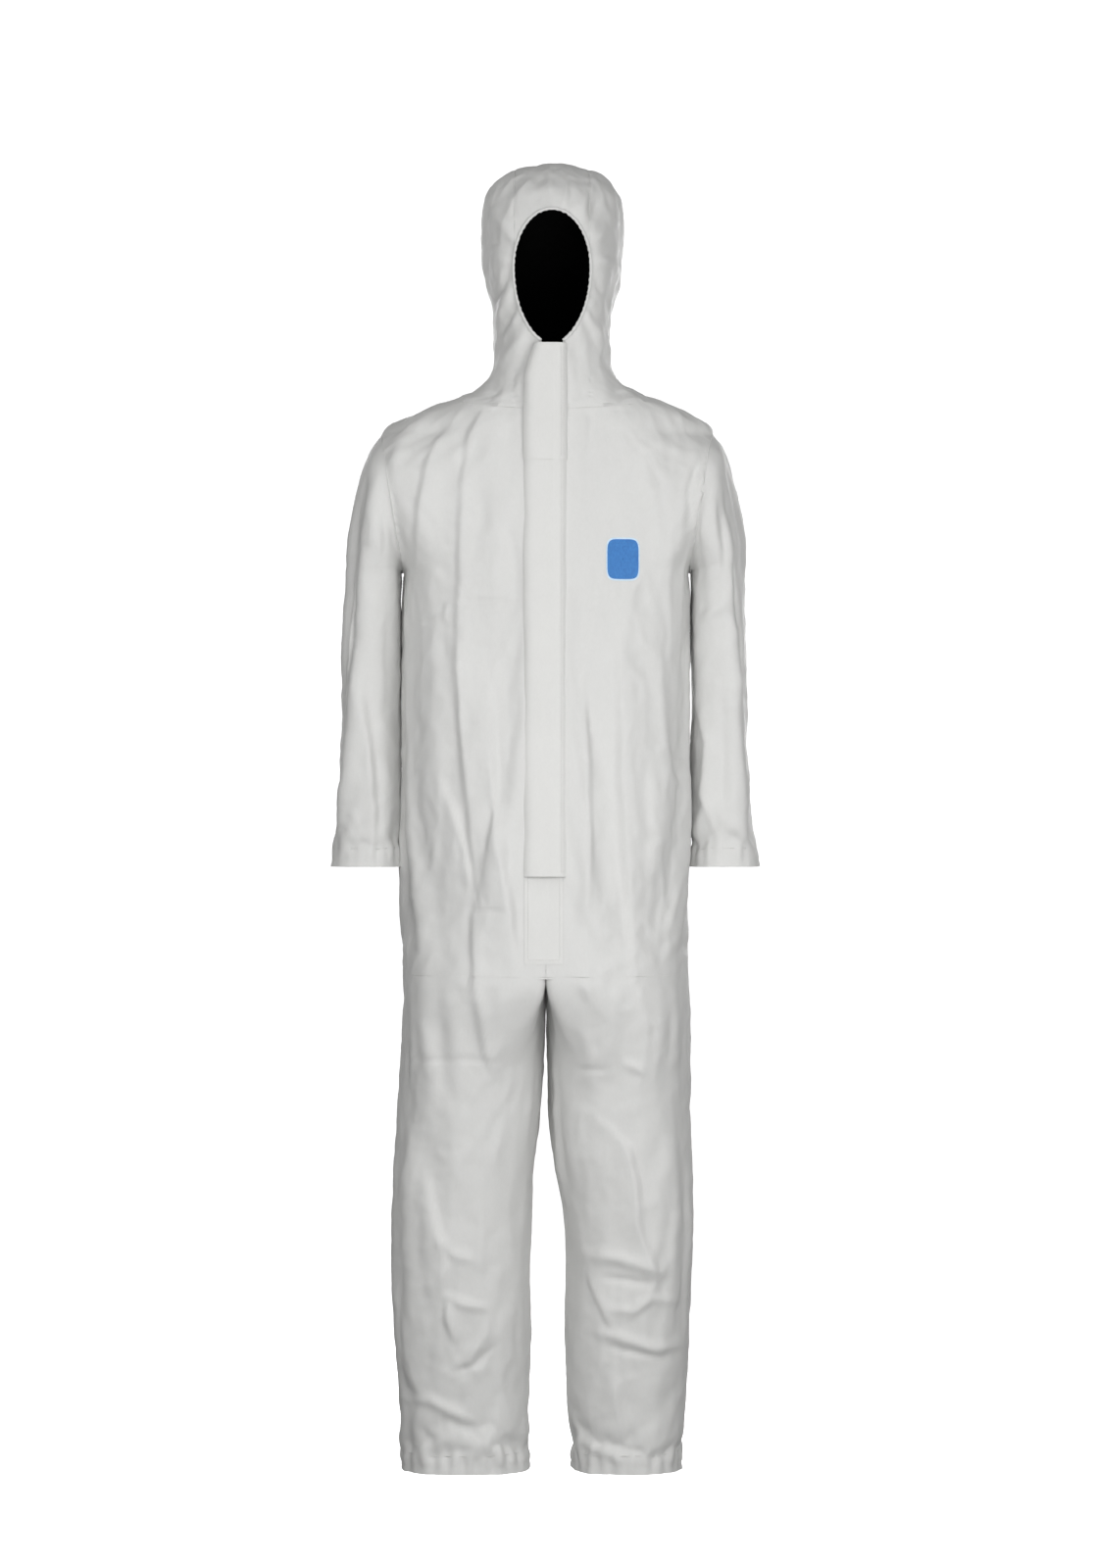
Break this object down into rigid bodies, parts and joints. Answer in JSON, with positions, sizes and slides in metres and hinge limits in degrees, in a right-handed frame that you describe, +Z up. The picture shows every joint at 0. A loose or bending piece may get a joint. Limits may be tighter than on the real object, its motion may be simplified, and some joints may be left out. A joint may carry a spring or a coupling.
{
  "type": "chemical protective suit",
  "caption": "White hooded chemical protective coverall with a zipped front under storm and chin flaps, and elasticated face, wrists and ankles.",
  "frame": {"origin": "middle of the neck ring, where the wearer's shoulders or a hanger carries the suit", "axes": "+Z up, the front faces -Y, and +X is the wearer's left"},
  "size_m": [0.5588, 0.2804, 1.723],
  "materials": {
    "suit_fabric": "matte",
    "black_lining": "matte",
    "zip_tape": "matte",
    "elastic": "matte",
    "adhesive": "satin",
    "badge": "matte",
    "zip_plastic": "satin",
    "zip_metal": "gloss"
  },
  "bodies": {
    "trunk": {"front_left_panel": "suit_fabric", "front_right_panel": "suit_fabric", "back_left_panel": "suit_fabric", "back_right_panel": "suit_fabric", "waist_elastic": "elastic", "chest_badge": "badge", "zip_base_patch": "suit_fabric", "crotch_gusset": "suit_fabric", "collar_left": "suit_fabric", "collar_right": "suit_fabric", "zip_tape_left": "zip_tape", "zip_tape_right": "zip_tape", "zip_teeth_left": "zip_plastic", "zip_teeth_right": "zip_plastic", "zip_top_stop_left": "zip_plastic", "zip_top_stop_right": "zip_plastic", "zip_bottom_stop": "zip_plastic", "left_hip": "suit_fabric", "right_hip": "suit_fabric"},
    "hood": {"hood_left_panel": "suit_fabric", "hood_right_panel": "suit_fabric", "hood_centre_panel": "suit_fabric", "hood_lining": "black_lining", "face_elastic": "elastic"},
    "slider": {"zip_slider": "zip_metal"},
    "pull_tab": {"zip_pull_tab": "zip_metal"},
    "storm_flap": {"storm_flap": "suit_fabric", "storm_flap_adhesive": "adhesive"},
    "chin_flap": {"chin_flap": "suit_fabric", "chin_flap_adhesive": "adhesive"},
    "left_shoulder": {"left_sleeve_head": "suit_fabric"},
    "left_upper_arm": {"left_upper_sleeve": "suit_fabric", "left_elbow": "suit_fabric"},
    "left_forearm": {"left_lower_sleeve": "suit_fabric", "left_wrist_hem": "suit_fabric", "left_wrist_elastic": "elastic"},
    "left_thigh": {"left_thigh": "suit_fabric", "left_knee": "suit_fabric"},
    "left_shin": {"left_shin": "suit_fabric", "left_ankle_hem": "suit_fabric", "left_ankle_elastic": "elastic"},
    "right_shoulder": {"right_sleeve_head": "suit_fabric"},
    "right_upper_arm": {"right_upper_sleeve": "suit_fabric", "right_elbow": "suit_fabric"},
    "right_forearm": {"right_lower_sleeve": "suit_fabric", "right_wrist_hem": "suit_fabric", "right_wrist_elastic": "elastic"},
    "right_thigh": {"right_thigh": "suit_fabric", "right_knee": "suit_fabric"},
    "right_shin": {"right_shin": "suit_fabric", "right_ankle_hem": "suit_fabric", "right_ankle_elastic": "elastic"}
  },
  "joints": [
    {"name": "hood_fold", "type": "hinge", "parent": "trunk", "child": "hood", "pos_m": [0, 0.084, 0.047], "axis": [-1, 0, 0], "range_deg": [0, 140], "deforming": ["collar_left", "collar_right"]},
    {"name": "zip_slide", "type": "slide", "parent": "trunk", "child": "slider", "axis": [0, -0.0698, -0.9976], "range_m": [0, 0.665]},
    {"name": "pull_tab_lift", "type": "hinge", "parent": "slider", "child": "pull_tab", "pos_m": [0, -0.1011, 0.0499], "axis": [-1, 0, 0], "range_deg": [0, 12]},
    {"name": "storm_flap_open", "type": "hinge", "parent": "trunk", "child": "storm_flap", "pos_m": [0.0265, -0.12052, -0.24216], "axis": [0, 0.0698, 0.9976], "range_deg": [0, 150]},
    {"name": "chin_flap_open", "type": "hinge", "parent": "trunk", "child": "chin_flap", "pos_m": [0.0265, -0.10483, -0.01771], "axis": [0, 0.0698, 0.9976], "range_deg": [0, 150]},
    {"name": "left_shoulder_swing", "type": "hinge", "parent": "trunk", "child": "left_shoulder", "pos_m": [0.2024, 0.0042, -0.1433], "axis": [-0.9877, 0, 0.1564], "range_deg": [-40, 150], "deforming": ["left_sleeve_head"]},
    {"name": "left_shoulder_raise", "type": "hinge", "parent": "left_shoulder", "child": "left_upper_arm", "pos_m": [0.197, 0.0042, -0.115], "axis": [0, -1, 0], "range_deg": [0, 95], "deforming": ["left_sleeve_head"]},
    {"name": "left_elbow_bend", "type": "hinge", "parent": "left_upper_arm", "child": "left_forearm", "pos_m": [0.228, 0.003, -0.359], "axis": [-1, 0, 0], "range_deg": [0, 100], "deforming": ["left_elbow"]},
    {"name": "left_hip_swing", "type": "hinge", "parent": "trunk", "child": "left_thigh", "pos_m": [0.095, -0.008, -0.69], "axis": [-1, 0, 0], "range_deg": [-20, 75], "deforming": ["left_hip"]},
    {"name": "left_knee_bend", "type": "hinge", "parent": "left_thigh", "child": "left_shin", "pos_m": [0.106, 0, -1.019], "axis": [1, 0, 0], "range_deg": [0, 95], "deforming": ["left_knee"]},
    {"name": "right_shoulder_swing", "type": "hinge", "parent": "trunk", "child": "right_shoulder", "pos_m": [-0.2024, 0.0042, -0.1433], "axis": [-0.9877, 0, -0.1564], "range_deg": [-40, 150], "deforming": ["right_sleeve_head"]},
    {"name": "right_shoulder_raise", "type": "hinge", "parent": "right_shoulder", "child": "right_upper_arm", "pos_m": [-0.197, 0.0042, -0.115], "axis": [0, 1, 0], "range_deg": [0, 95], "deforming": ["right_sleeve_head"]},
    {"name": "right_elbow_bend", "type": "hinge", "parent": "right_upper_arm", "child": "right_forearm", "pos_m": [-0.228, 0.003, -0.359], "axis": [-1, 0, 0], "range_deg": [0, 100], "deforming": ["right_elbow"]},
    {"name": "right_hip_swing", "type": "hinge", "parent": "trunk", "child": "right_thigh", "pos_m": [-0.095, -0.008, -0.69], "axis": [-1, 0, 0], "range_deg": [-20, 75], "deforming": ["right_hip"]},
    {"name": "right_knee_bend", "type": "hinge", "parent": "right_thigh", "child": "right_shin", "pos_m": [-0.106, 0, -1.019], "axis": [1, 0, 0], "range_deg": [0, 95], "deforming": ["right_knee"]}
  ]
}
